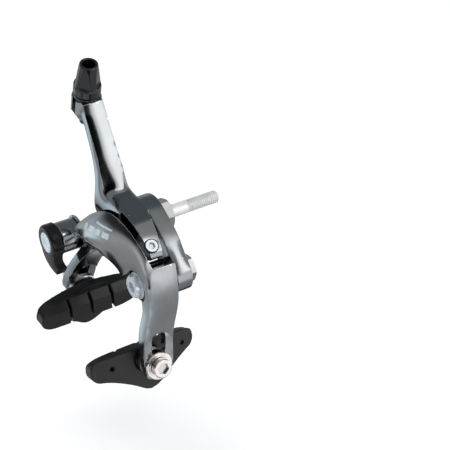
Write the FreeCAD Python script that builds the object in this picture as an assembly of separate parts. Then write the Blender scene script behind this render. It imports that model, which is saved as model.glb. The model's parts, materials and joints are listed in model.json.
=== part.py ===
import FreeCAD, Part
import math
import os

# Dual-pivot side-pull rim brake caliper, millimetres, shown open.
# Frame: origin on the centre stud axis at the mounting face, +Y to the rear, +Z up.

V = FreeCAD.Vector
os.makedirs("parts", exist_ok=True)

# ---- driving dimensions -------------------------------------------------
STUD_R = 3.0            # M6 mounting stud
STUD_END = 26.0
PIV = (26.0, -12.5)     # side pivot axis in X, Z
PIV_R = 3.5
HUB_R = 4.5             # bushing outer radius
RUN = 0.05              # running clearance, radial
BR_FRONT = -15.0        # bridge bracket, front and rear faces
BR_REAR = -7.0
CAM = (-33.0, -19.5)    # release boss axis in X, Z
CAM_R = 7.4
ECC = 1.5               # eccentric throw of the release shaft
ADJ_TOP = V(-25.0, -23.5, 72.0)
ADJ_TILT = 12.0         # degrees, top towards +X
PAD_T = 10.0
TILT_L = 4.0            # shoe tilt while open, degrees
TILT_R = 15.0
WIRE = 1.05             # return spring wire radius


# ---- helpers ------------------------------------------------------------
def save(name, shape):
    shape = shape.removeSplitter()
    shape.exportStep("parts/" + name + ".step")


def cyl(r, base, axis, length):
    return Part.makeCylinder(r, length, base, axis)


def cyl_y(r, x, z, y0, y1):
    return Part.makeCylinder(r, y1 - y0, V(x, y0, z), V(0, 1, 0))


def cone(r0, r1, base, axis, length):
    return Part.makeCone(r0, r1, length, base, axis)


def frame_for(axis):
    a = V(axis)
    a.normalize()
    ref = V(0, 1, 0) if abs(a.y) < 0.9 else V(1, 0, 0)
    u = ref.cross(a)
    u.normalize()
    return u, a.cross(u), a


def ngon(n, flat_r, base, axis, length, turn=0.0):
    u, w, a = frame_for(axis)
    r = flat_r / math.cos(math.pi / n)
    pts = []
    for i in range(n + 1):
        t = 2 * math.pi * i / n + math.radians(turn)
        pts.append(base + u * (r * math.cos(t)) + w * (r * math.sin(t)))
    return Part.Face(Part.makePolygon(pts)).extrude(a * length)


def hex_nut(flat, base, axis, length, bore, turn=0.0):
    body = ngon(6, flat / 2, base, axis, length, turn)
    r = flat / 2 / math.cos(math.pi / 6)
    u, w, a = frame_for(axis)
    lim0 = cone(flat / 2, r + 0.6, base, a, length * 0.18)
    lim1 = cyl(r + 0.6, base + a * (length * 0.18), a, length * 0.64)
    lim2 = cone(r + 0.6, flat / 2, base + a * (length * 0.82), a, length * 0.18)
    body = body.common(lim0.fuse([lim1, lim2]))
    if bore > 0:
        body = body.cut(cyl(bore, base - a, a, length + 2))
    return body


def ring(r_out, r_in, base, axis, length, edge=0.2):
    body = cyl(r_out, base, axis, length)
    body = body.makeChamfer(edge, [e for e in body.Edges if len(e.Vertexes) == 1])
    return body.cut(cyl(r_in, base - V(axis) * 1, axis, length + 2))


def rot(shape, x, z, deg):
    out = shape.copy()
    out.rotate(V(x, 0, z), V(0, 1, 0), deg)
    return out


def quad(corners, cut, bulge=(0, 0, 0, 0)):
    # closed section: four sides (slightly bowed) joined by short rounded corners
    n = len(corners)
    mid = V(0, 0, 0)
    for c in corners:
        mid = mid + c * (1.0 / n)
    ends = []
    for i in range(n):
        a = corners[i]
        b = corners[(i + 1) % n]
        d = b - a
        k = min(cut, d.Length * 0.35)
        d.normalize()
        ends.append((a + d * k, b - d * k))
    edges = []
    for i in range(n):
        p, q = ends[i]
        m = (p + q) * 0.5
        out = m - mid
        d = q - p
        d.normalize()
        out = out - d * out.dot(d)
        if out.Length > 1e-6:
            out.normalize()
        m2 = m + out * max(bulge[i], 0.02)
        edges.append(Part.Arc(p, m2, q).toShape())
        r = ends[(i + 1) % n][0]
        c = corners[(i + 1) % n]
        m3 = (q + r) * 0.5
        m3 = m3 + (c - m3) * 0.45
        edges.append(Part.Arc(q, m3, r).toShape())
    return Part.Wire(edges)


def bar(rows, cut, ruled=False):
    # rows: (ox, oz, dir_deg, [A(s, y), B, C, D], bulges)
    wires = []
    for ox, oz, deg, pts, bulge in rows:
        dx = math.cos(math.radians(deg))
        dz = math.sin(math.radians(deg))
        cs = [V(ox + dx * s, y, oz + dz * s) for s, y in pts]
        wires.append(quad(cs, cut, bulge))
    return Part.makeLoft(wires, True, ruled)


def outline(points, y0, y1):
    # smooth closed outline in X, Z extruded along Y
    curve = Part.BSplineCurve()
    curve.interpolate([V(x, y0, z) for x, z in points], PeriodicFlag=True)
    face = Part.Face(Part.Wire([curve.toShape()]))
    return face.extrude(V(0, y1 - y0, 0))


def soften(body, size, pick):
    edges = [e for e in body.Edges if pick(e)]
    for k in (1.0, 0.6, 0.35):
        try:
            out = body.makeFillet(size * k, edges)
            if out.isValid() and out.Volume > 0:
                return out
        except Exception:
            pass
    return body


def at_y(e, *values):
    ys = [v.Point.y for v in e.Vertexes]
    ys.append(e.valueAt((e.FirstParameter + e.LastParameter) / 2).y)
    return any(all(abs(y - v) < 0.01 for y in ys) for v in values)


YAX = V(0, 1, 0)

YC_L = -28.3
YC_R = -27.2
SHOES = {
    "left": (-19.0, YC_L, -53.0, TILT_L),
    "right": (17.4, YC_R, -57.0, TILT_R),
}


def stud_axis(side):
    t = math.radians(SHOES[side][3])
    return V(-math.cos(t) if side == "left" else math.cos(t), 0, math.sin(t))


LEG_IN = {"left": 17.7, "right": 14.85}
LEG_OUT = {"left": 22.1, "right": 19.6}
OUTER_T = {"left": 2.3, "right": 2.4}
NUT_H = {"left": 3.4, "right": 2.8}
LEG_TILT = {"left": 19.0, "right": 5.0}
LEG_RAKE = {"left": 0.02, "right": 0.11}
REACH = {"left": 8.0, "right": 10.0}
PAD_SHIFT = {"left": -1.0, "right": 1.0}


def leg_normal(side):
    t = math.radians(LEG_TILT[side])
    return V(-math.cos(t) if side == "left" else math.cos(t), 0, math.sin(t))


def leg_up(side):
    t = math.radians(LEG_TILT[side])
    d = V(math.sin(t) if side == "left" else -math.sin(t), LEG_RAKE[side], math.cos(t))
    d.normalize()
    return d


def stud_point(side, d):
    xf, yc, zc, tilt = SHOES[side]
    return V(xf, yc, zc) + stud_axis(side) * d


# ---- root body ----------------------------------------------------------
arch = [(-9.5, 0.0), (-8.5, 7.0), (-3.0, 11.6), (4.0, 12.6), (11.5, 9.6), (19.0, 5.6), (26.0, 0.0),
        (32.0, -6.0), (34.6, -12.5), (32.5, -18.5), (26.5, -20.6), (20.6, -18.6), (17.0, -12.5),
        (12.0, -7.6), (6.0, -9.0), (0.0, -9.5), (-6.5, -7.0)]
bracket = outline(arch, BR_FRONT, BR_REAR)
bracket = soften(bracket, 0.9, lambda e: at_y(e, BR_FRONT, BR_REAR))
bracket = bracket.cut(cyl_y(STUD_R, 0, 0, -20, 0))
bracket = bracket.cut(cyl_y(PIV_R, PIV[0], PIV[1], -20, 0))
save("bridge_bracket", bracket)

stud = cyl_y(STUD_R, 0, 0, -30.2, -0.5)
stud = stud.fuse(cyl_y(STUD_R - 0.4, 0, 0, -0.5, 0.0))
stud = stud.fuse(cyl_y(STUD_R, 0, 0, 0.0, STUD_END - 1.2))
stud = stud.fuse(cone(STUD_R, 1.9, V(0, STUD_END - 1.2, 0), YAX, 1.2))
save("centre_stud", stud)

nut = hex_nut(13.0, V(0, -5.4, 0), YAX, 5.4, STUD_R, 12)
save("rear_lock_nut", nut)
seat = ring(8.6, STUD_R, V(0, BR_REAR, 0), YAX, -BR_REAR - 5.4, 0.35)
save("rear_seat_washer", seat)
save("centre_thrust_washer", ring(8.0, STUD_R, V(0, BR_FRONT - 0.8, 0), YAX, 0.8, 0.15))
save("front_centre_washer", ring(6.6, STUD_R, V(0, -26.7, 0), YAX, 0.8, 0.15))
save("front_centre_nut", hex_nut(10.0, V(0, -30.2, 0), YAX, 3.5, STUD_R, 30))

HEAD_Y = -33.6
head = ngon(6, 5.0, V(PIV[0], HEAD_Y, PIV[1]), YAX, 3.2, 8)
dome = Part.makeCone(4.6, 6.2, 2.0, V(PIV[0], HEAD_Y - 0.2, PIV[1]), YAX)
dome = dome.fuse(cyl_y(6.2, PIV[0], PIV[1], HEAD_Y + 1.8, HEAD_Y + 4.0))
head = head.common(dome)
bolt = head.fuse(cyl_y(6.1, PIV[0], PIV[1], HEAD_Y + 2.7, HEAD_Y + 3.4))
bolt = bolt.fuse(cyl_y(PIV_R, PIV[0], PIV[1], HEAD_Y + 3.0, -3.6))
bolt = bolt.fuse(cone(PIV_R, 2.3, V(PIV[0], -3.6, PIV[1]), YAX, 1.2))
bolt = bolt.cut(ngon(6, 2.5, V(PIV[0], HEAD_Y - 1, PIV[1]), YAX, 3.4, 8))
save("side_pivot_bolt", bolt)
save("pivot_head_ring", ring(6.9, PIV_R, V(PIV[0], HEAD_Y + 3.4, PIV[1]), YAX, 0.9, 0.25))
save("side_pivot_nut", hex_nut(11.0, V(PIV[0], BR_REAR, PIV[1]), YAX, 3.2, PIV_R, 20))
save("pivot_thrust_washer", ring(7.4, PIV_R, V(PIV[0], BR_FRONT - 0.8, PIV[1]), YAX, 0.8, 0.15))

# ---- Y-arm --------------------------------------------------------------
Y_REAR = BR_FRONT - 0.9
hub_pts = [(-13.2, 5.0), (-10.4, 14.0), (-4.0, 16.6), (4.0, 16.4), (10.5, 15.0), (18.0, 12.4),
           (24.4, 8.2), (28.9, 3.6), (29.2, 1.2), (25.6, -0.6), (19.0, 1.6), (13.2, 2.4), (10.4, -3.0),
           (4.0, -9.6), (-4.0, -11.5), (-11.0, -6.0)]
hub = outline(hub_pts, -29.4, Y_REAR)
hub = soften(hub, 1.0, lambda e: at_y(e, -29.4, Y_REAR))
# the tip narrows towards the screw, front and rear
wedge = Part.makeBox(40, 8, 60, V(8.0, -36.0, -30))
wedge.rotate(V(8.0, -28.0, 0), V(0, 0, 1), 7.0)
hub = hub.cut(wedge)
wedge = Part.makeBox(40, 8, 60, V(12.0, -16.9, -30))
wedge.rotate(V(12.0, -16.9, 0), V(0, 0, 1), -8.0)
hub = hub.cut(wedge)
limb = bar([
    (-5.0, 2.0, 0, [(8.0, -17.0), (8.0, -29.0), (-8.5, -29.0), (-8.5, -17.0)], (0, 0, 0, 0)),
    (-7.5, 15.0, 2, [(6.0, -16.6), (4.0, -29.3), (-5.5, -30.2), (-5.5, -17.5)], (.3, 0, .3, 0)),
    (-11.5, 26.0, 8, [(3.4, -17.4), (3.0, -28.9), (-2.8, -29.3), (-3.2, -18.2)], (.3, .1, .3, .1)),
    (-17.0, 38.0, 14, [(2.7, -18.2), (2.5, -28.7), (-2.4, -28.9), (-2.8, -18.6)], (.3, .1, .3, .1)),
    (-23.0, 48.0, 17, [(2.7, -18.3), (2.6, -28.6), (-2.6, -28.6), (-2.9, -18.4)], (.3, .1, .3, .1)),
    (-28.0, 54.0, 10, [(4.6, -18.4), (4.6, -28.5), (-2.8, -28.5), (-2.8, -18.5)], (.3, .1, .3, .1)),
], 0.8)
leg = bar([
    (-6.0, -4.0, -40, [(-9.0, -17.5), (-9.0, -29.0), (8.0, -29.0), (8.0, -17.5)], (0, 0, 0, 0)),
    (-14.5, -14.0, -34, [(-4.4, -17.8), (-4.4, -30.4), (4.0, -30.4), (4.0, -17.8)], (.2, 0, .2, 0)),
    (-24.2, -26.0, -33, [(-2.5, -20.0), (-2.4, -33.8), (2.5, -33.6), (2.5, -20.2)], (.2, 0, .2, 0)),
    (-32.6, -38.5, -30, [(-2.3, -20.9), (-2.2, -35.4), (2.4, -35.2), (2.4, -21.0)], (.2, 0, .2, 0)),
    (-38.0, -49.0, -24, [(-2.3, -20.9), (-2.2, -36.0), (2.3, -35.9), (2.3, -21.0)], (.2, 0, .2, 0)),
    (-41.6, -59.5, -18, [(-2.2, -22.2), (-2.1, -35.2), (2.2, -35.0), (2.2, -22.3)], (.2, 0, .2, 0)),
], 0.7)
adir = V(math.sin(math.radians(ADJ_TILT)), 0, math.cos(math.radians(ADJ_TILT)))
boss_top = ADJ_TOP - adir * 17.6
boss = cyl(6.7, boss_top - adir * 8.8, adir, 8.8)
boss = boss.makeChamfer(0.5, [e for e in boss.Edges if len(e.Vertexes) == 1])
boss = boss.fuse(cone(4.7, 6.2, boss_top - adir * 11.8, adir, 3.02))
lug_c = V(-30.6, -17.4, -30.2)
lug = cyl(3.6, lug_c - V(0.5, 0, 0.86) * 2.5, V(0.5, 0, 0.86), 5.0)
lug_arm = Part.makeBox(5.4, 5.6, 3.6, V(-31.0, -23.0, -32.4))
y_arm = hub.fuse([limb, leg, boss, lug, lug_arm])
y_arm = y_arm.cut(cyl_y(HUB_R, 0, 0, -40, -10))
y_arm = y_arm.cut(cyl_y(7.2, 0, 0, -40, -25.9))
y_arm = y_arm.cut(cyl(3.4, boss_top - adir * 14, adir, 15))
y_arm = y_arm.cut(cyl(5.0, boss_top - adir * 2.2, adir, 4))
slit = Part.makeBox(3.2, 12.0, 30.0, V(-1.6, -12.0, -22.0))
slit.rotate(V(0, 0, 0), V(0, 1, 0), ADJ_TILT)
slit.translate(boss_top)
y_arm = y_arm.cut(slit)
SL_B = stud_point("left", 19.4)
SL_D = leg_up("left")
SL_T = SL_B + SL_D * 12.5


def slot(top, bottom, half, across):
    d = bottom - top
    length = d.Length
    d.normalize()
    n = V(across)
    n.normalize()
    w = d.cross(n)
    w.normalize()
    box = Part.Face(Part.makePolygon([
        top - w * half - n * 12, top + w * half - n * 12,
        bottom + w * half - n * 12, bottom - w * half - n * 12,
        top - w * half - n * 12])).extrude(n * 24)
    tool = box.fuse(cyl(half, top - n * 12, n, 24))
    return tool.fuse(cyl(half, bottom - n * 12, n, 24))


def seat_cut(body, side):
    """Flat tracks for the washers on both faces of a leg, as long as the reach travel."""
    n = leg_normal(side)
    up = leg_up(side)
    w = n.cross(up)
    w.normalize()
    for d, way in ((LEG_IN[side], -1.0), (LEG_OUT[side], 1.0)):
        a = stud_point(side, d)
        b = a + up * (REACH[side] + 0.4)
        tool = Part.Face(Part.makePolygon([a + w * 7.1, b + w * 7.1, b - w * 7.1, a - w * 7.1, a + w * 7.1]))
        tool = tool.extrude(n * (8.0 * way))
        tool = tool.fuse(cyl(7.1, a, n * way, 8.0))
        tool = tool.fuse(cyl(7.1, b, n * way, 8.0))
        body = body.cut(tool)
    return body


def round_end(body, bottom, up, axis, radius):
    w = up.cross(axis)
    w.normalize()
    a = bottom - axis * 12
    tool = Part.Face(Part.makePolygon([
        a + w * 14, a - w * 14, a - w * 14 - up * 20, a + w * 14 - up * 20, a + w * 14])).extrude(axis * 24)
    return body.cut(tool.cut(cyl(radius, a, axis, 24)))


y_arm = y_arm.cut(slot(SL_T, SL_B, 3.4, stud_axis("left")))
y_arm = seat_cut(y_arm, "left")
y_arm = y_arm.cut(Part.makeBox(27.0, 8.0, 19.6, V(-27.0, -38.75, -17.6)))
y_arm = y_arm.cut(cyl(7.4, boss_top, adir, 6.0))
y_arm = round_end(y_arm, SL_B, SL_D, stud_axis("left"), 7.4)
SCR_P = V(26.9, -23.6, 6.6)
SCR_A = V(-0.62, 0.0, -0.785)
SCR_A.normalize()
y_arm = y_arm.cut(cyl(2.0, SCR_P - SCR_A * 6, SCR_A, 20))
y_arm = y_arm.cut(cyl(3.25, SCR_P - SCR_A * 7.0, SCR_A, 7.6))
TEN_A = V(-0.5, 0, -0.86)
TEN_A.normalize()
y_arm = y_arm.cut(cyl(1.5, lug_c + TEN_A * -5, TEN_A, 12))
save("y_arm", y_arm)
save("y_arm_bushing", ring(HUB_R, STUD_R + RUN, V(0, -25.8, 0), YAX, 25.8 + Y_REAR - 0.0, 0.15))

scr = cyl(2.75, SCR_P - SCR_A * 0.7, SCR_A, 1.3)
scr = scr.fuse(cyl(1.95, SCR_P, SCR_A, 5.4))
scr = scr.cut(ngon(6, 1.5, SCR_P - SCR_A * 1.0, SCR_A, 1.6))
save("centering_screw", scr)
o_r = cyl(3.25, SCR_P - SCR_A * 0.45, SCR_A, 1.0).cut(cyl(2.8, SCR_P - SCR_A * 2, SCR_A, 4))
save("centering_o_ring", o_r)

insert = cyl(5.0, boss_top - adir * 2.2, adir, 2.2).fuse(cyl(6.0, boss_top, adir, 1.2))
insert = insert.cut(cyl(2.55, boss_top - adir * 4, adir, 8))
save("adjuster_collar_nut", insert)
barrel_base = boss_top + adir * 1.9
lower = cyl(6.25, barrel_base, adir, 4.0)
lower = lower.makeChamfer(0.4, [e for e in lower.Edges if len(e.Vertexes) == 1])
cone_a = cone(6.1, 4.1, barrel_base + adir * 4.0, adir, 11.7)
barrel = lower.fuse(cone_a)
for i in range(4):
    u, w, a = frame_for(adir)
    t = math.radians(45 + 90 * i)
    n = u * math.cos(t) + w * math.sin(t)
    m = a.cross(n)
    p = barrel_base + adir * 4.6 + n * 4.9
    flat = Part.Face(Part.makePolygon([p - m * 6, p + m * 6, p + m * 6 + n * 4, p - m * 6 + n * 4, p - m * 6]))
    flat = flat.extrude(adir * 12)
    flat.rotate(p, m, -6.0)
    barrel = barrel.cut(flat)
barrel = barrel.fuse(cyl(2.5, barrel_base - adir * 17.6, adir, 18))
barrel = barrel.cut(cyl(1.2, barrel_base - adir * 20, adir, 40))
barrel = barrel.cut(cyl(3.05, barrel_base + adir * 6.7, adir, 12))
save("adjuster_barrel", barrel)
save("adjuster_o_ring", cyl(3.6, boss_top + adir * 1.3, adir, 0.5).cut(cyl(2.56, boss_top, adir, 3)))

guide = cyl(3.0, lug_c - TEN_A * 6.6, TEN_A, 4.0)
guide = guide.fuse(Part.makeBox(5.0, 4.2, 5.4, V(lug_c.x - 1.2, lug_c.y + 1.6, lug_c.z + 1.2)))
guide = guide.cut(cyl(1.5, lug_c - TEN_A * 10, TEN_A, 16))
guide = guide.cut(cyl(3.62, lug_c + TEN_A * 2.6, TEN_A * -1.0, 5.15))
guide = guide.cut(Part.makeBox(6.0, 5.7, 3.8, V(-31.3, -23.1, -32.5)))
save("spring_guide", guide)
ten = cyl(1.48, lug_c - TEN_A * 4.4, TEN_A, 9.2).fuse(cyl(2.5, lug_c + TEN_A * 2.6, TEN_A, 2.4))
ten = ten.cut(ngon(6, 1.0, lug_c + TEN_A * 3.6, TEN_A, 2.0))
save("spring_tension_screw", ten)

# ---- C-arm --------------------------------------------------------------
front = bar([
    (-30.0, 0, 90, [(-12.6, -30.9), (-14.8, -35.4), (-19.6, -34.6), (-22.6, -30.9)], (.3, 0, 0, 0)),
    (-22.0, 0, 90, [(-4.6, -31.0), (-9.4, -36.9), (-14.2, -34.8), (-17.6, -30.9)], (.8, 0, 0, 0)),
    (-12.0, 0, 90, [(4.6, -31.0), (-6.4, -38.2), (-12.4, -34.4), (-15.2, -30.9)], (1.4, .1, 0, 0)),
    (0.0, 0, 90, [(12.0, -31.0), (-2.8, -37.6), (-12.4, -33.0), (-13.8, -30.9)], (1.6, .1, 0, 0)),
    (11.0, 0, 90, [(14.6, -31.0), (1.2, -35.6), (-13.0, -32.4), (-14.0, -30.9)], (1.2, .1, 0, 0)),
    (17.0, -8.0, 68, [(22.6, -30.9), (14.0, -33.4), (-6.0, -32.2), (-6.4, -30.4)], (.6, 0, 0, 0)),
    (20.0, -9.0, 44, [(21.2, -29.5), (18.0, -31.9), (-1.0, -31.9), (-1.0, -28.5)], (.4, 0, 0, 0)),
    (21.5, -10.5, 18, [(17.0, -26.0), (16.2, -31.3), (0.0, -31.6), (0.0, -26.0)], (.3, 0, 0, 0)),
    (21.8, -15.0, 0, [(15.9, -26.0), (15.4, -31.1), (1.5, -31.3), (1.5, -26.0)], (.3, 0, 0, 0)),
], 0.7)
rleg = bar([
    (26.0, -1.5, 14, [(10.0, -16.8), (9.8, -30.0), (2.5, -30.0), (2.5, -17.0)], (.4, 0, 0, 0)),
    (26.0, -8.0, 6, [(11.7, -16.8), (11.4, -30.9), (0.5, -31.1), (0.5, -16.9)], (.4, 0, 0, 0)),
    (26.0, -14.0, 2, [(12.0, -16.5), (11.8, -31.0), (1.5, -31.2), (1.5, -16.6)], (.4, 0, .2, 0)),
    (26.0, -21.0, 0, [(11.6, -16.6), (11.3, -31.2), (4.6, -31.4), (4.6, -16.7)], (.4, 0, .2, 0)),
    (26.0, -30.0, -2, [(10.6, -17.7), (10.3, -32.2), (3.9, -32.4), (3.9, -17.8)], (.3, 0, .2, 0)),
    (26.0, -40.0, -3, [(9.8, -18.6), (9.5, -33.4), (4.2, -33.6), (4.2, -18.7)], (.3, 0, .2, 0)),
    (26.0, -50.0, 0, [(10.2, -18.9), (9.9, -33.6), (5.2, -33.7), (5.2, -18.9)], (.3, 0, .2, 0)),
    (26.0, -59.0, 3, [(11.0, -20.4), (10.8, -32.2), (6.6, -32.2), (6.6, -20.4)], (.3, 0, .2, 0)),
], 0.7)
phub = cyl_y(7.9, PIV[0], PIV[1], -30.4, BR_FRONT - 0.9)
phub = phub.makeChamfer(0.5, [e for e in phub.Edges if len(e.Vertexes) == 1])
cboss = cyl_y(CAM_R, CAM[0], CAM[1], -40.6, -30.9)
cboss = cboss.makeChamfer(0.4, [e for e in cboss.Edges if len(e.Vertexes) == 1])
c_arm = front.fuse([rleg, phub, cboss])
SPOT = HEAD_Y + 3.4 + 0.9 + 0.1
c_arm = c_arm.cut(cyl_y(7.3, PIV[0], PIV[1], -40, SPOT))
c_arm = c_arm.cut(cyl_y(HUB_R, PIV[0], PIV[1], -40, -10))
c_arm = c_arm.cut(cyl_y(4.0, CAM[0], CAM[1], -50, -20))
# clearance pocket behind the front bar for the Y-arm tip
pocket_pts = [(-14.6, 5.0), (-11.8, 15.2), (-4.0, 18.2), (4.0, 18.0), (11.2, 16.6), (19.0, 14.2), (26.0, 9.8),
              (30.6, 4.6), (31.0, 0.6), (26.2, -2.2), (19.0, -0.4), (13.6, 0.4), (11.8, -3.8),
              (5.0, -11.0), (-4.4, -13.0), (-12.4, -7.0)]
pocket = outline(pocket_pts, -30.3, -10.0)
p2 = rot(pocket, 0, 0, -3.0)
c_arm = c_arm.cut(pocket)
c_arm = c_arm.cut(p2)
SR_B = stud_point("right", 17.6)
SR_D = leg_up("right")
SR_T = SR_B + SR_D * 14.0
c_arm = c_arm.cut(slot(SR_T, SR_B, 3.4, stud_axis("right")))
c_arm = seat_cut(c_arm, "right")
c_arm = c_arm.cut(cyl_y(8.6, CAM[0], CAM[1], -30.9, -20))
c_arm = round_end(c_arm, SR_B, SR_D, stud_axis("right"), 7.4)
save("c_arm", c_arm)
save("c_arm_bushing", ring(HUB_R, PIV_R + RUN, V(PIV[0], SPOT, PIV[1]), YAX, BR_FRONT - 0.9 - SPOT, 0.15))
save("release_boss_washer", ring(8.3, 4.6, V(CAM[0], -30.9, CAM[1]), YAX, 1.4, 0.3))

# release shaft: journal in the boss, offset crank pin behind it
ex, ez = CAM[0], CAM[1] - ECC
shaft = cyl_y(4.0 - RUN, CAM[0], CAM[1], -41.5, -29.4)
shaft = shaft.fuse(cyl_y(2.4, ex, ez, -29.6, -21.0))
shaft = shaft.fuse(cyl_y(3.2, ex, ez, -21.0, -20.2))
save("release_shaft", shaft)

CX, CZ = CAM
cap = cyl_y(8.2, CX, CZ, -46.6, -41.0)
cap = soften(cap, 1.6, lambda e: at_y(e, -46.6))
lever = bar([
    (CX, CZ, 0, [(7.2, -41.1), (7.2, -46.2), (-8.0, -46.2), (-8.0, -41.1)], (0, 0, 0, 0)),
    (CX + 0.8, CZ - 6.0, 6, [(6.0, -41.0), (6.2, -46.0), (-7.2, -46.0), (-7.2, -41.0)], (0, .3, 0, 0)),
    (CX + 1.8, CZ - 10.2, 20, [(4.6, -40.7), (4.6, -45.7), (-5.4, -45.7), (-5.4, -40.7)], (0, .3, 0, 0)),
    (CX + 4.4, CZ - 12.6, 42, [(3.6, -40.3), (3.4, -45.1), (-3.8, -45.1), (-4.0, -40.3)], (0, .3, 0, 0)),
    (CX + 6.6, CZ - 14.0, 56, [(3.0, -39.9), (2.6, -44.5), (-2.8, -44.5), (-3.0, -39.9)], (0, .3, 0, 0)),
], 0.9)
lever = cap.fuse(lever)
lever = lever.cut(cyl_y(4.0 - RUN, CAM[0], CAM[1], -41.5, -38))
lever = lever.cut(cyl_y(5.0, CAM[0], CAM[1], -47.5, -46.1))
save("release_lever", lever)
save("release_cap_disc", ring(5.0, 0.01, V(CAM[0], -46.5, CAM[1]), YAX, 0.4, 0.1).fuse(
    cyl_y(4.0, CAM[0], CAM[1], -46.5, -46.1)))

# cable anchor: block on the crank pin, clamp plate and bolt below it
blk = cyl_y(4.6, ex, ez, -28.9, -21.2)
foot = Part.makeBox(7.2, 6.8, 8.4, V(ex - 5.6, -28.6, ez - 10.4))
foot = soften(foot, 1.0, lambda e: True)
blk = blk.fuse(foot)
blk = blk.cut(cyl_y(2.45, ex, ez, -40, -10))
AB = V(ex, -25.2, ez - 7.2)
AX = V(-1, 0, 0)
blk = blk.cut(cyl(2.0, AB + V(12, 0, 0), AX, 24))
save("cable_anchor_block", blk)
plate = ring(4.6, 2.0, AB + AX * 5.6, AX, 1.6, 0.3)
save("cable_clamp_plate", plate)
ab = cyl(1.95, AB - AX * 1.4, AX, 9.0)
ab = ab.fuse(hex_nut(8.0, AB + AX * 7.2, AX, 3.6, 0, 10))
ab = ab.cut(ngon(6, 2.0, AB + AX * 9.0, AX, 2.4))
save("anchor_bolt", ab)


# ---- brake shoes --------------------------------------------------------
BACK = [(-28.8, 1.6), (-28.2, -2.2), (-26.0, -4.7), (-22.5, -5.7), (-17.4, -7.2), (-12.5, -9.4), (-7.0, -12.6),
        (-2.5, -15.0), (2.4, -14.2), (7.6, -11.0), (12.6, -7.7), (18.0, -4.9), (22.6, -2.6), (25.0, 1.0),
        (24.3, 4.2), (20.5, 6.0), (12.0, 6.7), (0.0, 7.0), (-12.0, 6.6), (-21.0, 5.9), (-26.6, 4.6)]
FRONT = [(-28.0, 0.6), (-26.8, -4.2), (-22.0, -6.2), (-10.0, -6.8), (6.0, -6.6), (18.0, -5.2), (23.6, -1.8),
         (24.2, 2.6), (20.0, 5.6), (10.0, 6.4), (-4.0, 6.5), (-18.0, 6.0), (-25.6, 4.4)]


def side_outline(points, x0, depth, yc):
    c = Part.BSplineCurve()
    c.interpolate([V(x0, yc + y, z) for y, z in points], PeriodicFlag=True)
    return Part.Face(Part.Wire([c.toShape()])).extrude(V(depth, 0, 0))


def shoe(stud_y, shift):
    yc = stud_y + shift
    # local frame: friction face at x = 0, stud at z = 0, thickness towards -X
    back = side_outline(BACK, -PAD_T, 4.4, yc)
    bow = Part.makeCylinder(84.0, 60, V(-PAD_T + 84.0, yc - 1.5, -30), V(0, 0, 1))
    back = back.common(bow)
    back = soften(back, 0.8, lambda e: e.Length > 20 and e.valueAt(e.FirstParameter).x < -PAD_T + 4.3)
    block = side_outline(FRONT, -6.4, 6.4, yc)
    sect = Part.Face(Part.makePolygon([
        V(0, yc - 40, 2.4), V(0, yc - 40, -6.0), V(-1.0, yc - 40, -7.2), V(-6.4, yc - 40, -9.0),
        V(-6.4, yc - 40, 9.0), V(-4.6, yc - 40, 8.2), V(0, yc - 40, 2.4)])).extrude(V(0, 80, 0))
    block = block.common(sect)
    for g in (-13.0, -2.0, 9.0):
        tool = Part.makeBox(4.4, 1.3, 30, V(-3.9, yc + g - 0.65, -12))
        tool.rotate(V(0, yc + g, 0), V(1, 0, 0), 6)
        block = block.cut(tool)
    pad = back.fuse(block)
    for g in (-18.5, 18.0):
        pad = pad.cut(cyl(1.15, V(-PAD_T - 1, yc + g, 0.2), V(1, 0, 0), 5.0))
    metal = Part.makeBox(1.6, 36.0, 7.0, V(-6.0, yc - 19.0, -3.5))
    metal = soften(metal, 2.5, lambda e: abs(e.Length - 1.6) < 0.01)
    pad = pad.cut(metal)
    pad = pad.cut(cyl(6.4, V(-PAD_T - 1, stud_y, 0), V(1, 0, 0), 1.8))
    pad = pad.cut(cyl(3.0, V(-PAD_T - 1, stud_y, 0), V(1, 0, 0), 6.6))
    return {"pad": pad, "backing_plate": metal}


def place(shape, side, x_face, zc, tilt):
    out = shape.copy()
    if side == "right":
        out = out.mirror(V(0, 0, 0), V(1, 0, 0))
    out.translate(V(x_face, 0, zc))
    out.rotate(V(x_face, 0, zc), V(0, 1, 0), tilt if side == "left" else -tilt)
    return out


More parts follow.
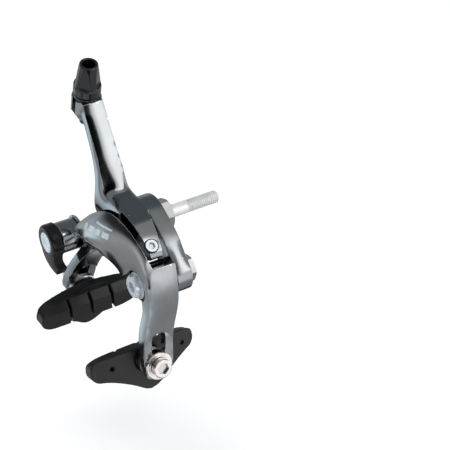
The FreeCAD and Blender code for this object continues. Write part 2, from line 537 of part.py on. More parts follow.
for side, (xf, yc, zc, tilt) in SHOES.items():
    parts = shoe(yc, PAD_SHIFT[side])
    for key, shp in parts.items():
        save(side + "_" + key, place(shp, side, xf, zc, tilt))
    ax = stud_axis(side)
    base = V(xf, yc, zc)
    d0 = PAD_T - 0.8
    d1 = LEG_IN[side]
    d2 = LEG_OUT[side]
    mid = d0 + (d1 - d0) * 0.5
    dn = d2 + OUTER_T[side]
    n = leg_normal(side)
    top = NUT_H[side] * 0.5
    save(side + "_shoe_stud", cyl(STUD_R, base + ax * 6.0, ax, dn + top - 6.0))
    convex = cone(6.2, 5.2, base + ax * d0, ax, (mid - d0) * 0.5)
    convex = convex.fuse(cyl(5.6, base + ax * (d0 + 0.6), ax, mid - d0 - 0.6))
    save(side + "_convex_washer", convex.cut(cyl(STUD_R, base + ax * (d0 - 1), ax, 12)))
    # the washers on the leg are wedges: square to the stud on one face, flat on the leg on the other
    conc = cyl(6.5, base + ax * mid, ax, 7.0)
    conc = conc.makeChamfer(0.4, [e for e in conc.Edges if len(e.Vertexes) == 1])
    conc = conc.cut(cyl(20.0, base + ax * d1, n, 12.0))
    save(side + "_concave_washer", conc.cut(cyl(STUD_R + RUN, base + ax * (mid - 1), ax, 12)))
    outer = cyl(6.6, base + ax * (d2 - 4.0), ax, dn - 0.7 - d2 + 4.0)
    outer = outer.makeChamfer(0.4, [e for e in outer.Edges if len(e.Vertexes) == 1])
    outer = outer.fuse(cyl(5.4, base + ax * (dn - 0.8), ax, 0.8))
    outer = outer.cut(cyl(20.0, base + ax * d2, n * -1.0, 12.0))
    save(side + "_outer_washer", outer.cut(cyl(STUD_R + RUN, base + ax * (d2 - 5), ax, 12)))
    nut = cyl(4.6, base + ax * dn, ax, NUT_H[side])
    nut = nut.makeChamfer(0.5, [e for e in nut.Edges if len(e.Vertexes) == 1])
    nut = nut.cut(cyl(STUD_R, base + ax * (dn - 1.0), ax, 1.0 + top))
    nut = nut.cut(ngon(6, 2.5, base + ax * (dn + top - 0.4), ax, 4.0, 12))
    save(side + "_shoe_nut", nut)

# ---- return spring ------------------------------------------------------


def sweep(points, radius):
    c = Part.BSplineCurve()
    c.interpolate(points)
    path = Part.Wire([c.toShape()])
    d = c.tangent(c.FirstParameter)[0]
    prof = Part.Wire([Part.Circle(points[0], d, radius).toShape()])
    pipe = Part.BRepOffsetAPI.MakePipeShell(path)
    pipe.add(prof)
    pipe.setFrenetMode(False)
    pipe.build()
    pipe.makeSolid()
    return pipe.shape()


pts = [V(-2.0, -10.6, -9.0), V(-5.0, -10.9, -12.4), V(-9.0, -11.2, -14.2)]
cxs, czs, rs = -15.0, -19.6, 6.2
for k in range(0, 14):
    t = math.radians(70 + 30 * k)
    pts.append(V(cxs + rs * math.cos(t), -11.4 - 0.2 * k, czs + rs * math.sin(t)))
pts.append(V(-21.8, -14.6, -15.2))
pts.append(V(-25.6, -15.4, -20.4))
top = lug_c - TEN_A * 7.0
pts.append(top)
pts.append(lug_c - TEN_A * 5.2)
save("return_spring", sweep(pts, WIRE))
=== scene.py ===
"""Dual-pivot rim brake caliper: looks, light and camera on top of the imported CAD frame. Metres."""

import json
import math

import bmesh
import bpy
import numpy as np
from mathutils import Matrix, Vector
from mathutils.bvhtree import BVHTree


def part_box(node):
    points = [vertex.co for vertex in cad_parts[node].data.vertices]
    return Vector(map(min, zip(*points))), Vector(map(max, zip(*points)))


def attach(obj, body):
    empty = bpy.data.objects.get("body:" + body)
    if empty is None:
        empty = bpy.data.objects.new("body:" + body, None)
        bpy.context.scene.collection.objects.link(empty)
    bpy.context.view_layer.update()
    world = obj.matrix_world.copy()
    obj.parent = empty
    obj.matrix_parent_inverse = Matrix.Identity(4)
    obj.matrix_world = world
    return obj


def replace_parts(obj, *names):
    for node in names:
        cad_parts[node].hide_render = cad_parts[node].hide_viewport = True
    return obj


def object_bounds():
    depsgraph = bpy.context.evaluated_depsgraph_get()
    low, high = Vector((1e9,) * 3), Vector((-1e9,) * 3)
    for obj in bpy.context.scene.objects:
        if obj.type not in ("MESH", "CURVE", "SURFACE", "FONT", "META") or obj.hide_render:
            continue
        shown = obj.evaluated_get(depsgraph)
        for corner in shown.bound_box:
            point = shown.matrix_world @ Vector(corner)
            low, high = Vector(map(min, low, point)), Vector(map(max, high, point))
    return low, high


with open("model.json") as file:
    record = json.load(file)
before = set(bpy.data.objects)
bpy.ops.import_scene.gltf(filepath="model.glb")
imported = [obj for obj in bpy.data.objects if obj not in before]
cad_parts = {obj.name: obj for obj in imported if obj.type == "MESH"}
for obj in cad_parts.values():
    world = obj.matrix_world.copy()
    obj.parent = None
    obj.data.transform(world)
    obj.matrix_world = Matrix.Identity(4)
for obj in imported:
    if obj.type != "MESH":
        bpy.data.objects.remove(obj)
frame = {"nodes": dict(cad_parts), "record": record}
cad_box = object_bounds()

MM = 0.001
NODES = frame["nodes"]
RECORD = frame["record"]
BODY_OF = {n: b for b, names in RECORD["behaviour"]["bodies"].items() for n in names}
SLOT_OF = {s["node"]: s["material_slot"] for s in RECORD["subparts"]}


# ---- shader building ------------------------------------------------------
class Shader:
    """A material under construction: thin wrappers round the nodes that every finish uses."""

    def __init__(self, name):
        self.mat = bpy.data.materials.new(name)
        self.mat.use_nodes = True
        self.tree = self.mat.node_tree
        self.tree.nodes.clear()
        self.out = self.tree.nodes.new("ShaderNodeOutputMaterial")
        self.bsdf = self.tree.nodes.new("ShaderNodeBsdfPrincipled")
        self.link(self.bsdf.outputs[0], self.out.inputs[0])
        self.coord = self.tree.nodes.new("ShaderNodeTexCoord").outputs["Object"]

    def link(self, a, b):
        self.tree.links.new(a, b)

    def put(self, socket, value):
        """Feed a socket from another node, or with a plain value."""
        if isinstance(value, bpy.types.NodeSocket):
            self.link(value, socket)
        else:
            socket.default_value = value

    def noise(self, scale, detail=3.0, rough=0.55):
        n = self.tree.nodes.new("ShaderNodeTexNoise")
        n.inputs["Scale"].default_value = scale
        n.inputs["Detail"].default_value = detail
        n.inputs["Roughness"].default_value = rough
        self.link(self.coord, n.inputs["Vector"])
        return n.outputs["Fac"]

    def ramp(self, value, stops):
        r = self.tree.nodes.new("ShaderNodeValToRGB")
        self.link(value, r.inputs[0])
        el = r.color_ramp.elements
        while len(el) < len(stops):
            el.new(0.5)
        for e, (pos, col) in zip(el, stops):
            e.position = pos
            e.color = (*col, 1) if isinstance(col, tuple) else (col, col, col, 1)
        return r.outputs[0]

    def span(self, value, lo, hi, a=0.0, b=1.0):
        """The value's way from lo to hi, mapped onto a to b."""
        m = self.tree.nodes.new("ShaderNodeMapRange")
        for key, v in zip((1, 2, 3, 4), (lo, hi, a, b)):
            m.inputs[key].default_value = v
        self.link(value, m.inputs[0])
        return m.outputs[0]

    def math(self, op, a, b):
        m = self.tree.nodes.new("ShaderNodeMath")
        m.operation = op
        self.put(m.inputs[0], a)
        self.put(m.inputs[1], b)
        return m.outputs[0]

    def mix(self, fac, a, b):
        m = self.tree.nodes.new("ShaderNodeMix")
        m.data_type = "RGBA"
        self.put(m.inputs[0], fac)
        self.put(m.inputs[6], (*a, 1) if isinstance(a, tuple) else a)
        self.put(m.inputs[7], (*b, 1) if isinstance(b, tuple) else b)
        return m.outputs[2]

    def bump(self, height, distance, strength, normal):
        b = self.tree.nodes.new("ShaderNodeBump")
        b.inputs["Distance"].default_value = distance
        b.inputs["Strength"].default_value = strength
        self.link(height, b.inputs["Height"])
        self.link(normal, b.inputs["Normal"])
        return b.outputs[0]

    def edges(self, radius, gain=9.0):
        """Rounded normal, and a mask that is 1 along edges."""
        bev = self.tree.nodes.new("ShaderNodeBevel")
        bev.samples = 6
        bev.inputs["Radius"].default_value = radius
        geo = self.tree.nodes.new("ShaderNodeNewGeometry").outputs["Normal"]
        dot = self.tree.nodes.new("ShaderNodeVectorMath")
        dot.operation = "DOT_PRODUCT"
        self.link(bev.outputs[0], dot.inputs[0])
        self.link(geo, dot.inputs[1])
        gap = self.math("SUBTRACT", 1.0, dot.outputs["Value"])
        mask = self.math("MULTIPLY", gap, gain)
        clamp = self.math("MINIMUM", mask, 1.0)
        return bev.outputs[0], clamp

    def gap_shade_mask(self, reach, low, high):
        """1 on open surfaces, falling to 0 in narrow gaps: the mask for shade painted into the colour
        there.
        """
        ao = self.tree.nodes.new("ShaderNodeAmbientOcclusion")
        ao.samples = 4
        ao.inputs["Distance"].default_value = reach
        return self.span(ao.outputs["AO"], low, high)

    def inside(self, centre, reach, front):
        """1 within reach of centre and behind the plane y = front, 0 elsewhere."""
        gap = self.tree.nodes.new("ShaderNodeVectorMath")
        gap.operation = "DISTANCE"
        self.link(self.coord, gap.inputs[0])
        gap.inputs[1].default_value = centre
        split = self.tree.nodes.new("ShaderNodeSeparateXYZ")
        self.link(self.coord, split.inputs[0])
        near = self.span(gap.outputs["Value"], reach * 0.85, reach, 1.0, 0.0)
        behind = self.span(split.outputs["Y"], front, front + 0.5 * MM)
        return self.math("MULTIPLY", near, behind)

    def cloudy(self, cloud, base, low, high, top=0.7):
        """The base colour, drifting between two shares of itself."""
        dark, light = tuple(c * low for c in base), tuple(c * high for c in base)
        return self.ramp(cloud, [(0.3, dark), (top, light)])

    def drift(self, cloud, grain, rough, below, above, fine):
        """Roughness that drifts with the clouds and flickers with the grain."""
        slow = self.span(cloud, 0.3, 0.7, rough - below, rough + above)
        return self.math("ADD", slow, self.span(grain, 0.3, 0.7, -fine, fine))

    def finish(self, color, metallic, roughness, normal=None, specular=None):
        put = self.put
        put(self.bsdf.inputs["Base Color"], (*color, 1) if isinstance(color, tuple) else color)
        put(self.bsdf.inputs["Metallic"], metallic)
        put(self.bsdf.inputs["Roughness"], roughness)
        if normal is not None:
            put(self.bsdf.inputs["Normal"], normal)
        if specular is not None:
            self.bsdf.inputs["Specular IOR Level"].default_value = specular
        return self.mat


WORN_GLINT_GAIN, WORN_GLINT_LIFT, WORN_GLINT_MOST = 1.6, 0.18, 0.93  # how far a worn edge, with its painted highlight, is brighter than its face


def anodised(name, base, rough=0.17, pocket_shade=None):
    """Anodised, part-polished alloy: cloudy tone, fine blasted grain, edges lighter from wear and from
    a painted highlight, painted shade in gaps.
    """
    s = Shader(name)
    cloud = s.noise(55.0, 4.0, 0.6)
    grain = s.noise(5200.0, 2.0, 0.5)
    soft = s.noise(320.0, 3.0, 0.6)
    tone = s.cloudy(cloud, base, 0.90, 1.08)
    round_n, edge = s.edges(0.28 * MM)
    crest = s.tree.nodes.new("ShaderNodeNewGeometry").outputs["Pointiness"]
    edge = s.math("MAXIMUM", edge, s.span(crest, 0.525, 0.60))
    # edge lightening: partly wear, partly a painted highlight along the edges
    wear_and_glint = s.math("MULTIPLY", edge, s.span(soft, 0.35, 0.6, 0.55, 1.0))
    lifted = s.mix(wear_and_glint, tone, tuple(min(WORN_GLINT_MOST, c * WORN_GLINT_GAIN + WORN_GLINT_LIFT) for c in base))
    rough_v = s.drift(cloud, grain, rough, 0.035, 0.045, 0.02)
    rough_e = s.math("SUBTRACT", rough_v, s.math("MULTIPLY", wear_and_glint, 0.10))
    n = s.bump(grain, 0.004 * MM, 0.35, round_n)
    # painted shade: narrow gaps between parts are darkened to near black in the colour
    gap_shaded = s.mix(s.gap_shade_mask(3.5 * MM, 0.18, 0.42), (0.006, 0.006, 0.007), lifted)
    if pocket_shade:
        # painted shade: the pocket behind the Y-arm tip is coloured near black
        gap_shaded = s.mix(s.inside(*pocket_shade), gap_shaded, (0.004, 0.004, 0.005))
    return s.finish(gap_shaded, 1.0, rough_e, n)


def plated(name, base, rough=0.2, metal=1.0):
    """Bright zinc-plated steel with faint turning marks and dull patches."""
    s = Shader(name)
    cloud = s.noise(210.0, 4.0, 0.6)
    fine = s.noise(2600.0, 2.0, 0.5)
    tone = s.cloudy(cloud, base, 0.86, 1.0)
    round_n, edge = s.edges(0.14 * MM)
    # painted highlight: edges are coloured near white
    color = s.mix(edge, tone, (0.93, 0.94, 0.95))
    rough_v = s.drift(cloud, fine, rough, 0.05, 0.1, 0.03)
    n = s.bump(fine, 0.003 * MM, 0.5, round_n)
    # painted shade: narrow gaps between parts are darkened to near black in the colour
    gap_shaded = s.mix(s.gap_shade_mask(2.0 * MM, 0.2, 0.5), (0.01, 0.01, 0.011), color)
    return s.finish(gap_shaded, metal, rough_v, n)


def moulded(name, base, rough, grain_scale, grain_depth, edge_tone, specular=0.5):
    """Moulded plastic or rubber: leather-fine grain, dusty patches, edges tinted with edge_tone, a
    painted highlight where it is lighter than the base.
    """
    s = Shader(name)
    cloud = s.noise(120.0, 4.0, 0.6)
    grain = s.noise(grain_scale, 3.0, 0.6)
    tone = s.cloudy(cloud, base, 0.8, 1.25, 0.72)
    round_n, edge = s.edges(0.3 * MM, 6.0)
    # edges tinted with edge_tone: a painted highlight where it is lighter than the base
    color = s.mix(s.math("MULTIPLY", edge, 0.7), tone, edge_tone)
    rough_v = s.drift(cloud, grain, rough, 0.06, 0.06, 0.05)
    n = s.bump(grain, grain_depth, 0.6, round_n)
    return s.finish(color, 0.0, rough_v, n, specular=specular)


# painted shade in the C-arm's pocket behind the Y-arm tip: centre, reach, and the plane it starts
# behind
painted_pocket_shade = ((27.0 * MM, -22.0 * MM, -3.0 * MM), 9.5 * MM, -29.6 * MM)
BLACK = (0.005, 0.005, 0.006)
MATERIALS = {
    "arm_alloy": anodised("front_arm_finish", (0.40, 0.415, 0.43), pocket_shade=painted_pocket_shade),
    "dark_alloy": anodised("dark_alloy_finish", (0.31, 0.325, 0.34), 0.19),
    "zinc_steel": plated("zinc_steel_finish", (0.58, 0.59, 0.60), 0.26),
    "black_steel": plated("black_steel_finish", (0.045, 0.045, 0.05), 0.33),
    "black_plastic": moulded(
        "black_plastic_finish", BLACK, 0.3, 2400.0, 0.008 * MM, (0.02, 0.02, 0.022), 0.35
    ),
    "black_rubber": moulded(
        "black_rubber_finish", (0.007, 0.007, 0.008), 0.36, 1500.0, 0.02 * MM, (0.05, 0.05, 0.054), 0.38
    ),
    "pale_disc": moulded(
        "pale_disc_finish", (0.62, 0.72, 0.78), 0.3, 900.0, 0.01 * MM, (0.8, 0.86, 0.9)
    ),
}
clean_arm = anodised("clean_arm_finish", (0.285, 0.30, 0.315), 0.11)
bright_zinc = plated("bright_zinc_finish", (0.80, 0.86, 0.92), 0.24, 0.55)
pale_zinc = plated("pale_zinc_finish", (0.90, 0.90, 0.90), 0.36, 0.35)
dull_zinc = plated("dull_zinc_finish", (0.42, 0.425, 0.43), 0.3)
warm_zinc = plated("warm_zinc_finish", (0.74, 0.71, 0.69), 0.22)
gloss_black = moulded("gloss_black_finish", BLACK, 0.17, 2400.0, 0.003 * MM, (0.10, 0.10, 0.105), 0.6)
# nodes whose finish differs from the rest of their slot
SPECIAL = {
    "centre_stud": pale_zinc,
    "left_shoe_nut": warm_zinc,
    "right_shoe_nut": warm_zinc,
    "left_outer_washer": warm_zinc,
    "right_outer_washer": warm_zinc,
    "side_pivot_bolt": bright_zinc,
    "centering_screw": bright_zinc,
    "front_centre_nut": bright_zinc,
    "rear_lock_nut": dull_zinc,
    "side_pivot_nut": dull_zinc,
    "adjuster_barrel": gloss_black,
    "adjuster_collar_nut": gloss_black,
    "y_arm": clean_arm,
}


# ---- mesh helpers ---------------------------------------------------------
def add_piece(name, mesh, node, material=None):
    """A new object that stands for a CAD node, riding on its body."""
    obj = bpy.data.objects.new(name, mesh)
    bpy.context.scene.collection.objects.link(obj)
    mesh.materials.clear()
    mesh.materials.append(material or SPECIAL.get(node) or MATERIALS[SLOT_OF[node]])
    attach(obj, BODY_OF[node])
    return obj


def smooth_shade(mesh, angle=None):
    mesh.polygons.foreach_set("use_smooth", [True] * len(mesh.polygons))
    if angle is not None:
        mesh.set_sharp_from_angle(angle=math.radians(angle))


def vectors(mesh, name):
    """A per-vertex vector of a mesh as an array, one row each."""
    flat = np.empty(len(mesh.vertices) * 3)
    mesh.vertices.foreach_get(name, flat)
    return flat.reshape(-1, 3)


def edge_ends(mesh):
    """The vertex indices at both ends of every edge, as two arrays."""
    flat = np.empty(len(mesh.edges) * 2, dtype=np.int64)
    mesh.edges.foreach_get("vertices", flat)
    return flat.reshape(-1, 2).T


def pull(co, a, b):
    """How far each vertex is from the mean of its neighbours."""
    n = len(co)
    count = np.bincount(a, minlength=n) + np.bincount(b, minlength=n)
    total = np.zeros_like(co)
    for k in range(3):
        total[:, k] = np.bincount(a, co[b, k], n) + np.bincount(b, co[a, k], n)
    return total / count[:, None] - co


def put_back(mesh, co):
    mesh.vertices.foreach_set("co", co.ravel())
    mesh.update()


def relax(mesh, rounds, shrink=0.5, swell=0.53):
    """Taubin smoothing: rounds edges without shrinking the form."""
    co = vectors(mesh, "co")
    a, b = edge_ends(mesh)
    for _ in range(rounds):
        co = co + pull(co, a, b) * shrink
        co = co - pull(co, a, b) * swell
    put_back(mesh, co)


def melt(mesh, centre, radius, rounds, pace=0.6):
    """Runs the joins inside a sphere together by plain averaging, fading out at its skin."""
    co = vectors(mesh, "co")
    far = np.linalg.norm(co - np.array(centre), axis=1) / radius
    w = np.clip(1.5 * (1.0 - far), 0.0, 1.0)[:, None]
    a, b = edge_ends(mesh)
    for _ in range(rounds):
        co += w * pace * pull(co, a, b)
    put_back(mesh, co)


def calm_normals(mesh, rounds, spread=0.2):
    """Even out the shading across broad faces while edges keep theirs."""
    n = len(mesh.vertices)
    nor = vectors(mesh, "normal")
    a, b = edge_ends(mesh)
    for _ in range(rounds):
        w = np.exp(-((nor[a] - nor[b]) ** 2).sum(1) / spread**2)
        total = nor.copy()
        for k in range(3):
            total[:, k] += np.bincount(a, w * nor[b, k], n) + np.bincount(b, w * nor[a, k], n)
        nor = total / np.linalg.norm(total, axis=1)[:, None]
    mesh.normals_split_custom_set_from_vertices(nor)


def remoulded(node, voxel, rounds, calm=0, melts=()):
    """Stands for a CAD node: the same form, its edges and joins run together as if forged."""
    mesh = NODES[node].data.copy()
    bm = bmesh.new()
    bm.from_mesh(mesh)
    bmesh.ops.remove_doubles(bm, verts=bm.verts, dist=1e-7)
    bm.to_mesh(mesh)
    bm.free()
    tmp = bpy.data.objects.new("tmp", mesh)
    bpy.context.scene.collection.objects.link(tmp)
    mod = tmp.modifiers.new("voxel", "REMESH")
    mod.mode = "VOXEL"
    mod.voxel_size = voxel
    mod.use_smooth_shade = True
    made = bpy.data.meshes.new_from_object(tmp.evaluated_get(bpy.context.evaluated_depsgraph_get()))
    bpy.data.objects.remove(tmp)
    relax(made, rounds)
    for centre, radius, times in melts:
        melt(made, centre, radius, times)
    smooth_shade(made)
    if calm:
        calm_normals(made, calm)
    made.name = node + "_form"
    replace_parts(add_piece(node + "_form", made, node), node)


def basis(axis):
    """Matrix whose Z is axis, for building round parts along it."""
    return Vector(axis).normalized().to_track_quat("Z", "Y").to_matrix().to_4x4()


def grid_mesh(name, rings, loop=False):
    """A tube mesh through rings of points that all have the same count."""
    verts = [p for ring in rings for p in ring]
    n = len(rings[0])
    m = len(rings)
    faces = []
    for i in range(m if loop else m - 1):
        j = (i + 1) % m
        for k in range(n):
            q = (k + 1) % n
            faces.append((i * n + k, i * n + q, j * n + q, j * n + k))
    if not loop:
        faces.append(tuple(reversed(range(n))))
        faces.append(tuple(range((m - 1) * n, m * n)))
    mesh = bpy.data.meshes.new(name)
    mesh.from_pydata(verts, [], faces)
    mesh.validate()
    bm = bmesh.new()
    bm.from_mesh(mesh)
    bmesh.ops.recalc_face_normals(bm, faces=bm.faces)
    bm.to_mesh(mesh)
    bm.free()
    return mesh


def turned(name, base, axis, profile, shape, segs, loop=False):
    """Round part along axis from (radius, height) points; shape(angle, r, z) sets each radius."""
    place = Matrix.Translation(base) @ basis(axis)
    rings = []
    for r, z in profile:
        ring = []
        for k in range(segs):
            t = 2 * math.pi * k / segs
            rr = shape(t, r, z)
            ring.append(place @ Vector((rr * math.cos(t), rr * math.sin(t), z)))
        rings.append(ring)
    return grid_mesh(name, rings, loop)


THREAD_DEPTH = 0.55  # of the pitch
CREST, FLANK = 0.12, 0.72  # flat crest and slope, as shares of half a turn
CHAMFER_SLOPE = 0.9


def thread_radius(r, z, t, pitch, depth, z0, z1):
    """Outer radius of a helical thread that runs out over one pitch at each end."""
    if z < z0 or z > z1:
        return r
    phase = (z / pitch - t / (2 * math.pi)) % 1.0
    saw = abs(phase * 2 - 1)
    form = min(1.0, max(0.0, (saw - CREST) / FLANK))
    fade = min(1.0, (z - z0) / pitch, (z1 - z) / pitch)
    return r - depth * fade * form


def threaded_rod(name, base, axis, length, r, pitch, z0, z1, end, step=12, segs=48):
    """A rod of radius r with a thread from z0 to z1 and a chamfer of length end at each tip."""
    count = max(2, int(round(length / pitch * step)))
    zs = [length * i / count for i in range(count + 1)]
    profile = []
    for z in zs:
        tip = min(z, length - z)
        rr = r if tip >= end else r - (end - tip) * CHAMFER_SLOPE
        profile.append((rr, z))

    def shape(t, rr, z):
        cut = thread_radius(r, z, t, pitch, THREAD_DEPTH * pitch, z0, z1)
        return min(rr, cut)

    return turned(name, base, axis, profile, shape, segs)


# ---- forged and moulded forms ---------------------------------------------
FINE = 0.30 * MM
# places where two forms run into each other: centre, radius, rounds of averaging
limb_root = ((-0.5 * MM, -21.0 * MM, 17.0 * MM), 12.0 * MM, 130)
pocket_rim = ((29.5 * MM, -30.0 * MM, -0.5 * MM), 5.0 * MM, 25)
pivot_shoulder = ((28.9 * MM, -11.0 * MM, -2.6 * MM), 8.0 * MM, 60)
remoulded("y_arm", 0.32 * MM, 10, calm=120, melts=[limb_root])
remoulded("c_arm", 0.32 * MM, 9, calm=120, melts=[pocket_rim])
remoulded("bridge_bracket", 0.34 * MM, 7, calm=80, melts=[pivot_shoulder])
remoulded("release_lever", FINE, 8)
for side in ("left", "right"):
    remoulded(side + "_pad", FINE, 5)
remoulded("spring_guide", 0.2 * MM, 5)

# ---- plain printed bars on the front arm ----------------------------------
mark_ink = moulded(
    "printed_bar_finish", (0.52, 0.59, 0.60), 0.35, 900.0, 0.004 * MM, (0.4, 0.46, 0.47)
)
INK_HIGH, INK_DEEP = 0.035 * MM, 0.10 * MM  # how far a bar stands out of the arm and reaches in
BAR_SKEW = 0.35
CELL = (0.5 * MM, 0.4 * MM)  # one face of a bar, along it and across
IN_FRONT = -0.08  # y of a point well in front of the arm


def printed_bar(name, start, end, height):
    """A thin skewed bar laid on the C-arm's front; start and end are (x, z) of its midline in mm."""
    form = bpy.data.objects["c_arm_form"].data
    tree = BVHTree.FromPolygons([v.co for v in form.vertices], [p.vertices for p in form.polygons])
    a, b = Vector((start[0], 0, start[1])) * MM, Vector((end[0], 0, end[1])) * MM
    along = (b - a).normalized()
    rise = Vector((-along.z, 0, along.x))
    cols = max(4, int((b - a).length / CELL[0]))
    rows = max(3, int(height * MM / CELL[1]))
    top, low = [], []
    for i in range(rows + 1):
        v = (i / rows - 0.5) * height * MM
        for k in range(cols + 1):
            q = a + (b - a) * (k / cols) + rise * v + along * v * BAR_SKEW
            hit, normal, _, _ = tree.ray_cast(Vector((q.x, IN_FRONT, q.z)), Vector((0, 1, 0)))
            top.append(hit + normal * INK_HIGH)
            low.append(hit - normal * INK_DEEP)
    n = cols + 1
    faces = []
    for i in range(rows):
        for k in range(cols):
            faces.append((i * n + k, i * n + k + 1, (i + 1) * n + k + 1, (i + 1) * n + k))
    base = len(top)
    faces += [tuple(base + v for v in reversed(f)) for f in faces]
    rim = list(range(cols)) + [i * n + cols for i in range(rows)]
    rim += [rows * n + cols - k for k in range(cols)] + [(rows - i) * n for i in range(rows)]
    for u, w in zip(rim, rim[1:] + rim[:1]):
        faces.append((w, u, base + u, base + w))
    mesh = bpy.data.meshes.new(name)
    mesh.from_pydata(top + low, [], faces)
    mesh.validate()
    add_piece(name, mesh, "c_arm", mark_ink)
    mesh.polygons.foreach_set("use_smooth", [False] * len(mesh.polygons))


printed_bar("mark_bar_1", (-11.6, -0.9), (-8.6, 0.2), 3.0)
printed_bar("mark_bar_2", (-6.9, 0.8), (-1.6, 2.5), 3.0)
printed_bar("mark_bar_3", (0.1, 3.0), (3.0, 3.7), 3.0)
printed_bar("mark_bar_4", (4.7, 4.1), (9.6, 5.1), 3.0)
printed_bar("mark_line", (-2.4, 6.2), (11.0, 9.0), 0.9)

# ---- adjuster barrel with its four petal flats (mm) ------------------------
LOWER_R, LOWER_H = 6.25, 4.0
CONE_R, TIP_R, BARREL_H = 6.1, 4.1, 15.7
PETAL_LOW, PETAL_HIGH = 4.95, 4.2  # distance of a flat from the axis, at its foot and at the tip
STEM_R, STEM_LOW = 2.5, -17.6
SOCKET_R, SOCKET_FLOOR, CABLE_R = 3.05, 6.7, 1.2
UNCUT_R, UNCUT_H = 3.6, 0.55  # the flats leave the core alone, and a band above the foot
CONE_STEPS = 40
JOINT_UP = 5.7  # the barrel's turning joint, above its foot
barrel_turn = next(j for j in RECORD["behaviour"]["joints"] if j["name"] == "adjuster_turn")
barrel_axis = Vector(barrel_turn["axis"])
barrel_foot = Vector(barrel_turn["pos_m"]) - barrel_axis * JOINT_UP * MM


def petal(t, r, z):
    """Radius of the barrel at angle t: the cone, cut by four flats."""
    h = z / MM
    if r < UNCUT_R * MM or h < LOWER_H + UNCUT_H:
        return r
    turn = math.degrees(t) % 90.0 - 45.0
    share = (h - LOWER_H) / (BARREL_H - LOWER_H)
    flat = (PETAL_LOW + (PETAL_HIGH - PETAL_LOW) * share) * MM
    return min(r, flat / math.cos(math.radians(turn)))


cone_low, cone_high = LOWER_H + 0.2, BARREL_H - 0.3
cone_z = [cone_low + (cone_high - cone_low) * i / CONE_STEPS for i in range(CONE_STEPS + 1)]
taper = (TIP_R - CONE_R) / (BARREL_H - LOWER_H)
stem_and_foot = [
    (CABLE_R, STEM_LOW),
    (STEM_R, STEM_LOW),
    (STEM_R, -0.01),
    (LOWER_R - 0.35, 0.0),
    (LOWER_R - 0.1, 0.1),
    (LOWER_R, 0.35),
    (LOWER_R, LOWER_H - 0.4),
    (LOWER_R - 0.12, LOWER_H - 0.1),
    (CONE_R, LOWER_H),
]
tip_and_socket = [
    (TIP_R - 0.1, BARREL_H - 0.1),
    (TIP_R - 0.3, BARREL_H),
    (SOCKET_R + 0.2, BARREL_H),
    (SOCKET_R, BARREL_H - 0.2),
    (SOCKET_R, SOCKET_FLOOR),
    (CABLE_R, SOCKET_FLOOR),
]
line = stem_and_foot + [(CONE_R + taper * (z - LOWER_H), z) for z in cone_z] + tip_and_socket
profile = [(r * MM, z * MM) for r, z in line]
barrel = turned("adjuster_petals", barrel_foot, barrel_axis, profile, petal, 192, True)
smooth_shade(barrel, 20)
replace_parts(add_piece("adjuster_petals", barrel, "adjuster_barrel"), "adjuster_barrel")

# ---- threads --------------------------------------------------------------
STUD_R, STUD_PITCH = 3.0 * MM, 1.0 * MM
THREAD_FROM = 9.0 * MM  # behind the mounting face
lo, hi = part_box("centre_stud")
length = hi.y - lo.y
stud = threaded_rod(
    "centre_stud_thread", Vector((0, lo.y, 0)), (0, 1, 0), length, STUD_R, STUD_PITCH,
    THREAD_FROM - lo.y, length - 0.4 * MM, end=1.1 * MM,
)
smooth_shade(stud, 50)
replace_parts(add_piece("centre_stud_thread", stud, "centre_stud"), "centre_stud")

# ---- everything else keeps its CAD form and takes its finish --------------
for node, obj in NODES.items():
    if obj.hide_render:
        continue
    obj.data.materials.clear()
    obj.data.materials.append(SPECIAL.get(node) or MATERIALS[SLOT_OF[node]])
    smooth_shade(obj.data, 32)

# ---- stage, light, camera -------------------------------------------------
scene = bpy.context.scene

FLOOR_HALF, FLOOR_DROP = 6.0, 0.06
FLOOR_GLOW = 0.16
FLOOR_Z = Vector(cad_box[0]).z - FLOOR_DROP
floor_mesh = bpy.data.meshes.new("floor")
corners = [(x * FLOOR_HALF, y * FLOOR_HALF, FLOOR_Z) for x, y in ((-1, -1), (1, -1), (1, 1), (-1, 1))]
floor_mesh.from_pydata(corners, [], [(0, 1, 2, 3)])
floor = bpy.data.objects.new("floor", floor_mesh)
scene.collection.objects.link(floor)
fs = Shader("floor_finish")
fmix = fs.ramp(fs.noise(3.0, 2.0), [(0.3, 0.95), (0.7, 0.97)])
fs.bsdf.inputs["Emission Color"].default_value = (1, 1, 1, 1)
fs.bsdf.inputs["Emission Strength"].default_value = FLOOR_GLOW
floor_mesh.materials.append(fs.finish(fmix, 0.0, 0.9, specular=0.0))
floor.visible_glossy = False


def soft_light(name, place, size, power, color=(1, 1, 1), glossy=False):
    """A soft box at place that looks at the origin."""
    data = bpy.data.lights.new(name, "AREA")
    data.shape = "RECTANGLE"
    data.size, data.size_y = size
    data.energy = power
    data.color = color
    obj = bpy.data.objects.new(name, data)
    obj.location = place
    obj.rotation_euler = (-Vector(place)).to_track_quat("-Z", "Y").to_euler()
    obj.visible_glossy = glossy
    scene.collection.objects.link(obj)


soft_light("key", (0.75, 0.42, 0.55), (0.55, 0.8), 2.0, (1.0, 0.99, 0.97), glossy=True)
soft_light("top", (-0.1, -0.15, 0.95), (0.5, 0.5), 3.0)
soft_light("left", (-0.85, -0.55, 0.25), (0.35, 0.7), 1.0, (0.95, 0.98, 1.0))

world = bpy.data.worlds.new("studio")
scene.world = world
world.use_nodes = True
wt = world.node_tree
wt.nodes.clear()
w_out = wt.nodes.new("ShaderNodeOutputWorld")
w_bg = wt.nodes.new("ShaderNodeBackground")
wt.links.new(w_bg.outputs[0], w_out.inputs[0])
w_dir = wt.nodes.new("ShaderNodeTexCoord").outputs["Generated"]


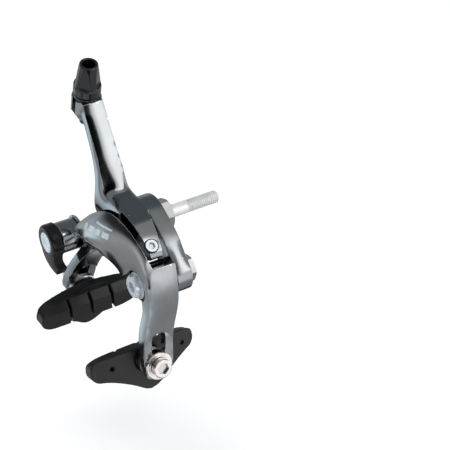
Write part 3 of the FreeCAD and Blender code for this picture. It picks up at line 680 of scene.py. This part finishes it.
def w_math(op, a, b=None):
    m = wt.nodes.new("ShaderNodeMath")
    m.operation = op
    for i, v in enumerate((a, b)):
        if isinstance(v, float):
            m.inputs[i].default_value = v
        elif v is not None:
            wt.links.new(v, m.inputs[i])
    return m.outputs[0]


def w_step(value, lo, hi):
    """0 below lo, 1 above hi, with a soft rise between."""
    m = wt.nodes.new("ShaderNodeMapRange")
    m.interpolation_type = "SMOOTHSTEP"
    m.inputs[1].default_value = lo
    m.inputs[2].default_value = hi
    wt.links.new(value, m.inputs[0])
    return m.outputs[0]


def w_mix(fac, a, b):
    m = wt.nodes.new("ShaderNodeMix")
    m.data_type = "RGBA"
    wt.links.new(fac, m.inputs[0])
    for i, v in ((6, a), (7, b)):
        if isinstance(v, tuple):
            m.inputs[i].default_value = (*v, 1)
        else:
            wt.links.new(v, m.inputs[i])
    return m.outputs[2]


xyz = wt.nodes.new("ShaderNodeSeparateXYZ")
wt.links.new(w_dir, xyz.inputs[0])
AZIMUTH = w_math("MULTIPLY", w_math("ARCTAN2", xyz.outputs[1], xyz.outputs[0]), 180 / math.pi)
HEIGHT = w_math("MULTIPLY", w_math("ARCSINE", xyz.outputs[2]), 180 / math.pi)

# studio cards and flags round the part: azimuth span, height span, soft edge (degrees), level, tint
WARM, PLAIN, COOL = (1.0, 0.98, 0.95), (1.0, 1.0, 1.0), (0.80, 0.93, 1.0)
CARDS = [
    ((-180, 180), (-90, -55), 15, 0.36, PLAIN),
    ((-180, 180), (35, 90), 20, 0.40, PLAIN),
    ((94, 170), (14, 86), 12, 0.2, COOL),
    ((36, 92), (54, 80), 8, 0.55, WARM),
    ((-14, 42), (-28, 10), 10, 1.4, PLAIN),
    ((20, 44), (6, 62), 7, 1.4, WARM),
    ((44, 108), (-24, 14), 11, 1.45, PLAIN),
    ((-64, -8), (-8, 12), 5, 1.6, PLAIN),
    ((-125, 19), (10, 40), 4, 0.0, PLAIN),
    ((-176, -72), (-5, 16), 5, 0.02, PLAIN),
    ((-66, 10), (-54, -38), 6, 1.3, COOL),
    ((-52, -10), (-42, -22), 3, 0.0, PLAIN),
    ((-176, -136), (-34, -3), 6, 0.75, COOL),
    ((-125, -90), (-50, -14), 8, 0.85, PLAIN),
    ((-156, -138), (-32, -14), 4, 1.5, COOL),
    ((85, 150), (-90, -58), 8, 0.0, PLAIN),
]
BASE_SKY = (0.45, 0.455, 0.46)
DIFFUSE_SKY = (0.62, 0.63, 0.64)


def card_span(value, lo, hi, soft, lowest, highest):
    """1 between lo and hi with soft ends; an end at the limit of the range stays open."""
    rise = 1.0 if lo == lowest else w_step(value, lo - soft, lo + soft)
    fall = 0.0 if hi == highest else w_step(value, hi - soft, hi + soft)
    return w_math("SUBTRACT", rise, fall)


sky = BASE_SKY
for (a0, a1), (h0, h1), soft, level, tint in CARDS:
    across = card_span(AZIMUTH, a0, a1, soft, -180, 180)
    high = card_span(HEIGHT, h0, h1, soft, -90, 90)
    sky = w_mix(w_math("MULTIPLY", across, high), sky, tuple(level * t for t in tint))
path = wt.nodes.new("ShaderNodeLightPath")
even = w_mix(path.outputs["Is Diffuse Ray"], sky, DIFFUSE_SKY)
wt.links.new(w_mix(path.outputs["Is Camera Ray"], even, (1.0, 1.0, 1.0)), w_bg.inputs["Color"])

# the photograph's view: over the front right, with a long lens
AZ, EL = math.radians(58.5), math.radians(35.0)
DIST = 0.769
LENS = 136.0
SIDE, RISE = 0.0258, 0.00565  # slides the camera right and down, to frame the part as the photo does
back = Vector((math.sin(AZ) * math.cos(EL), -math.cos(AZ) * math.cos(EL), math.sin(EL)))
right = Vector((math.cos(AZ), math.sin(AZ), 0))
up = back.cross(right)
cam_data = bpy.data.cameras.new("camera")
cam_data.lens = LENS
cam_data.sensor_width = 36.0
cam_data.clip_start = 0.01
cam = bpy.data.objects.new("camera", cam_data)
turn = Matrix((right, up, back)).transposed().to_4x4()
cam.matrix_world = Matrix.Translation(back * DIST + right * SIDE - up * RISE) @ turn
scene.collection.objects.link(cam)
scene.camera = cam
scene.view_settings.view_transform = "Standard"
